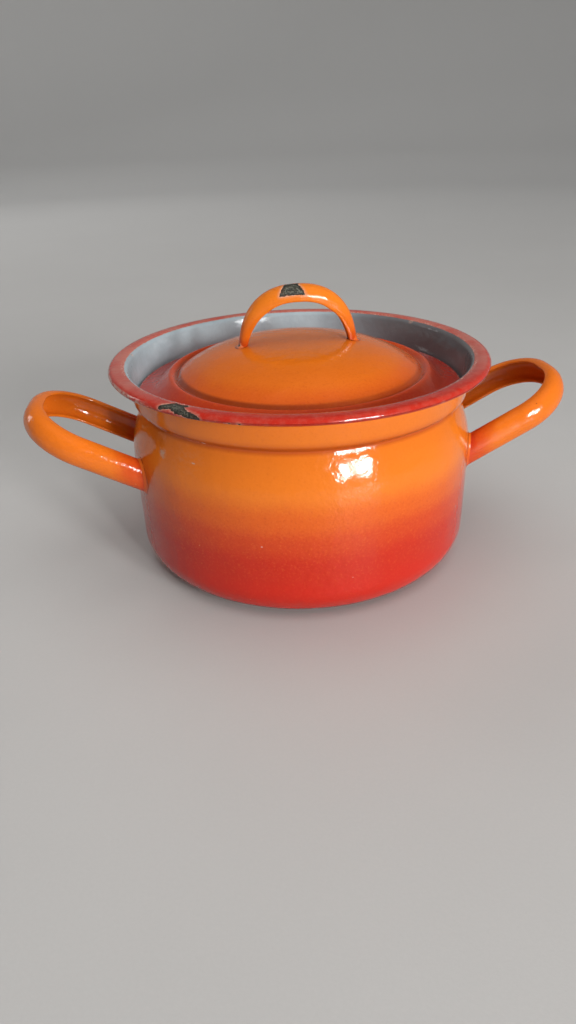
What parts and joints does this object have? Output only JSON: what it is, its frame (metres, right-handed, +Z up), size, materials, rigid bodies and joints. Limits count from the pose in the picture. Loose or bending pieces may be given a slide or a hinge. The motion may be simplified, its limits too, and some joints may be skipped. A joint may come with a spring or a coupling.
{
  "type": "casserole pot with lid",
  "caption": "Round enamelled steel casserole with a rolled rim, recessed domed lid with a bow handle, and upswept loop side handles",
  "frame": {"origin": "centre of the base, on the surface the pot stands on, below the middle of the bounding box", "axes": "+X along the two loop handles towards the right handle, +Z up along the pot's axis, front of the pot towards -Y"},
  "size_m": [0.2958, 0.2, 0.1457],
  "materials": {
    "pot_enamel": "glossy vitreous enamel, orange shading to red at the base and rim",
    "loop_enamel": "glossy orange vitreous enamel",
    "lid_enamel": "glossy vitreous enamel, orange dome and red flange",
    "bow_enamel": "glossy orange vitreous enamel, chipped at the crown",
    "weld_enamel": "enamelled weld bead"
  },
  "bodies": {
    "pot": {"pot_body": "pot_enamel", "left_handle": "loop_enamel", "right_handle": "loop_enamel", "left_handle_front_weld": "weld_enamel", "left_handle_rear_weld": "weld_enamel", "right_handle_front_weld": "weld_enamel", "right_handle_rear_weld": "weld_enamel"},
    "lid": {"lid": "lid_enamel", "lid_handle": "bow_enamel", "lid_handle_left_weld": "weld_enamel", "lid_handle_right_weld": "weld_enamel"}
  },
  "joints": [
    {"name": "lid_lift", "type": "slide", "parent": "pot", "child": "lid", "axis": [0, 0, 1], "range_m": [0, 0.15]}
  ]
}
